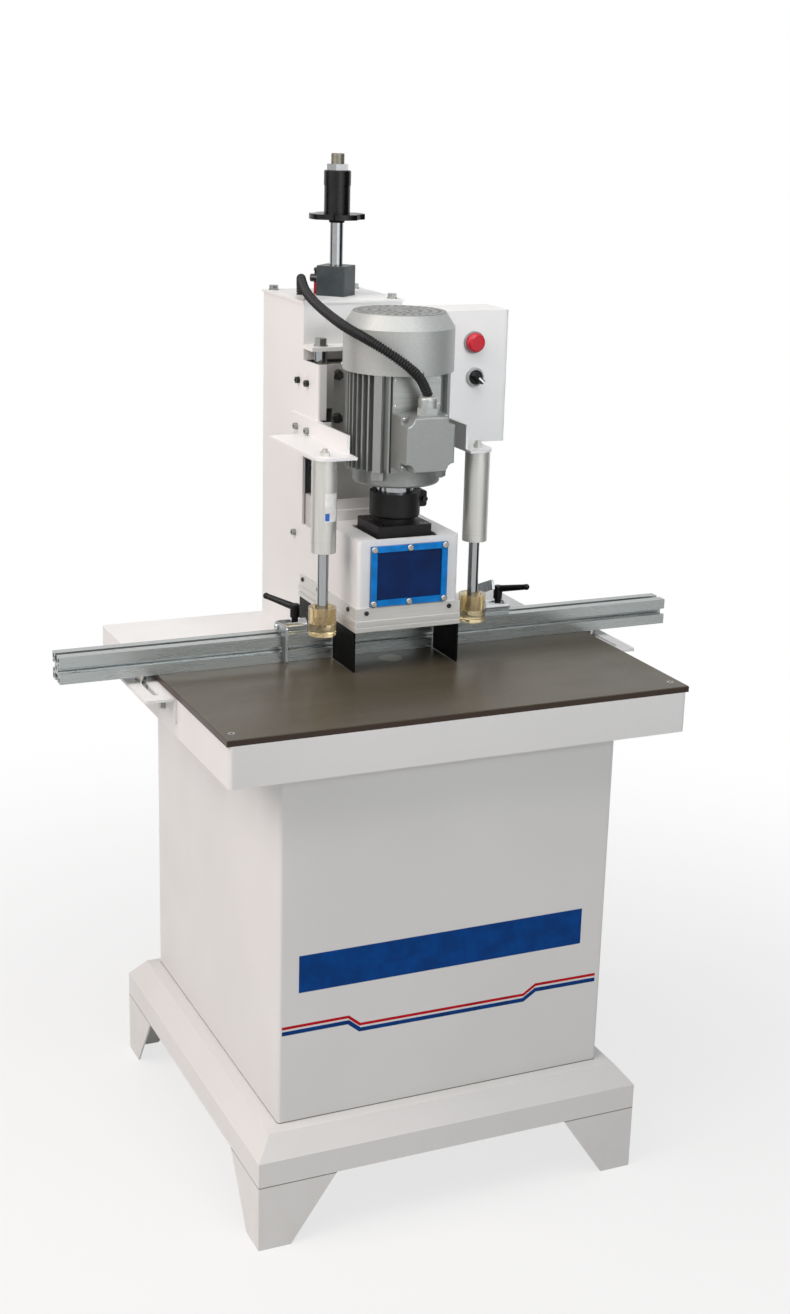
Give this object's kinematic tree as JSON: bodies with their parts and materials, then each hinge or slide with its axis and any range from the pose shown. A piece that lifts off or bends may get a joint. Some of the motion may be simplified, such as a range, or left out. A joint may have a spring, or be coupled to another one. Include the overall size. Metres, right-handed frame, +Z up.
{
  "type": "hinge cup boring machine",
  "caption": "Floor-standing vertical boring machine for hinge cups: sheet-steel stand, slotted fence with flip stops, air clamps, and a motor head that feeds down a column.",
  "frame": {"origin": "on the floor, under the middle of the base", "axes": "+X to the operator's right, +Y to the back, +Z up"},
  "size_m": [0.992, 0.644, 1.5],
  "materials": {
    "white_paint": "satin powder coat",
    "table_laminate": "semi-gloss laminate",
    "bolt_steel": "zinc plated",
    "shaft_steel": "ground",
    "tool_steel": "hardened",
    "bushing": "bronze",
    "bright_aluminium": "natural anodised",
    "dark_block": "dark anodised",
    "air_plastic": "smooth",
    "frame_blue": "smooth",
    "pane_navy": "polished",
    "black_rubber": "matt",
    "lamp_red": "polished",
    "stop_chrome": "bright",
    "blade_steel": "brushed",
    "black_plastic": "fine grain",
    "amber_cup": "translucent",
    "carriage_grey": "painted",
    "gearbox_grey": "cast",
    "coupling_black": "black painted",
    "motor_grey": "silver paint",
    "sleeve_black": "black oxide"
  },
  "bodies": {
    "frame": {"base_plinth": "white_paint", "cabinet_panels": "white_paint", "table_tray": "white_paint", "table_plate": "table_laminate", "fence_brackets": "white_paint", "frame_bolts": "bolt_steel", "column_sides": "white_paint", "column_panels": "white_paint", "column_top_plate": "white_paint", "shaft_holders": "white_paint", "guide_shafts": "shaft_steel", "feed_cylinder": "bright_aluminium", "feed_top_block": "dark_block", "air_line": "air_plastic", "hood_shell": "white_paint", "window_frame": "frame_blue", "window_pane": "pane_navy", "hood_screws": "bolt_steel", "hood_rim": "bright_aluminium", "curtains": "black_rubber", "clamp_brackets": "white_paint", "clamp_barrels": "bright_aluminium", "control_box": "white_paint", "pilot_lamp": "lamp_red", "conduit": "black_plastic"},
    "head": {"carriage": "carriage_grey", "carriage_bushings": "bushing", "gearbox_housing": "gearbox_grey", "spindle_bearings": "shaft_steel", "coupling_housing": "coupling_black", "motor_housing": "motor_grey", "motor_end_shield": "motor_grey", "fan_cowl": "motor_grey", "terminal_box": "motor_grey", "conduit_gland": "motor_grey", "head_screws": "bolt_steel", "feed_rod": "shaft_steel"},
    "depth_stop": {"depth_bumper": "black_rubber"},
    "depth_dial": {"depth_sleeve": "sleeve_black"},
    "motor_drive": {"rotor": "shaft_steel", "centre_spindle": "shaft_steel", "centre_bit": "tool_steel"},
    "left_drill": {"left_spindle": "shaft_steel", "left_bit": "tool_steel"},
    "right_drill": {"right_spindle": "shaft_steel", "right_bit": "tool_steel"},
    "fence": {"fence_profile": "bright_aluminium", "fence_bolts": "bolt_steel"},
    "left_stop": {"left_stop_block": "stop_chrome"},
    "left_blade": {"left_stop_blade": "blade_steel"},
    "left_lever": {"left_stop_lever": "black_plastic"},
    "right_stop": {"right_stop_block": "stop_chrome"},
    "right_blade": {"right_stop_blade": "blade_steel"},
    "right_lever": {"right_stop_lever": "black_plastic"},
    "left_clamp": {"left_clamp_rod": "shaft_steel", "left_clamp_cup": "amber_cup"},
    "right_clamp": {"right_clamp_rod": "shaft_steel", "right_clamp_cup": "amber_cup"},
    "selector": {"selector_knob": "black_plastic"}
  },
  "joints": [
    {"name": "head_feed", "type": "slide", "parent": "frame", "child": "head", "axis": [0, 0, -1], "range_m": [0, 0.057], "deforming": ["conduit"]},
    {"name": "depth_set", "type": "slide", "parent": "head", "child": "depth_stop", "axis": [0, 0, -1], "range_m": [0, 0.006]},
    {"name": "depth_turn", "type": "hinge", "parent": "depth_stop", "child": "depth_dial", "pos_m": [0, 0.19, 1.44], "axis": [0, 0, -1], "range_deg": [0, 1080]},
    {"name": "motor_spin", "type": "hinge", "parent": "head", "child": "motor_drive", "pos_m": [0, -0.05, 0.93], "axis": [0, 0, 1], "continuous": true},
    {"name": "left_spin", "type": "hinge", "parent": "head", "child": "left_drill", "pos_m": [-0.0225, -0.0595, 0.93], "axis": [0, 0, 1], "continuous": true},
    {"name": "right_spin", "type": "hinge", "parent": "head", "child": "right_drill", "pos_m": [0.0225, -0.0595, 0.93], "axis": [0, 0, 1], "continuous": true},
    {"name": "clamp_left", "type": "slide", "parent": "frame", "child": "left_clamp", "axis": [0, 0, -1], "range_m": [0, 0.045]},
    {"name": "clamp_right", "type": "slide", "parent": "frame", "child": "right_clamp", "axis": [0, 0, -1], "range_m": [0, 0.045]},
    {"name": "fence_set", "type": "slide", "parent": "frame", "child": "fence", "axis": [0, 1, 0], "range_m": [-0.004, 0.025]},
    {"name": "left_stop_slide", "type": "slide", "parent": "fence", "child": "left_stop", "axis": [1, 0, 0], "range_m": [-0.3, 0.01]},
    {"name": "left_blade_flip", "type": "hinge", "parent": "left_stop", "child": "left_blade", "pos_m": [-0.1613, 0.001, 0.8281], "axis": [1, 0, 0], "range_deg": [-130, 0]},
    {"name": "left_lever_turn", "type": "hinge", "parent": "left_stop", "child": "left_lever", "pos_m": [-0.135, 0.001, 0.85], "axis": [0, 0, 1], "range_deg": [-30, 0]},
    {"name": "right_stop_slide", "type": "slide", "parent": "fence", "child": "right_stop", "axis": [1, 0, 0], "range_m": [-0.01, 0.26]},
    {"name": "right_blade_flip", "type": "hinge", "parent": "right_stop", "child": "right_blade", "pos_m": [0.1767, 0.001, 0.8281], "axis": [1, 0, 0], "range_deg": [-18, 112]},
    {"name": "right_lever_turn", "type": "hinge", "parent": "right_stop", "child": "right_lever", "pos_m": [0.203, 0.001, 0.85], "axis": [0, 0, 1], "range_deg": [-25, 70]},
    {"name": "selector_turn", "type": "hinge", "parent": "frame", "child": "selector", "pos_m": [0.1775, 0.05, 1.177], "axis": [0, 1, 0], "range_deg": [0, 90]}
  ],
  "couplings": [
    {"joint": "left_spin", "follows": "motor_spin", "ratio": -1},
    {"joint": "right_spin", "follows": "motor_spin", "ratio": -1},
    {"joint": "depth_set", "follows": "depth_turn", "m_per_rad": 0.0003183}
  ]
}
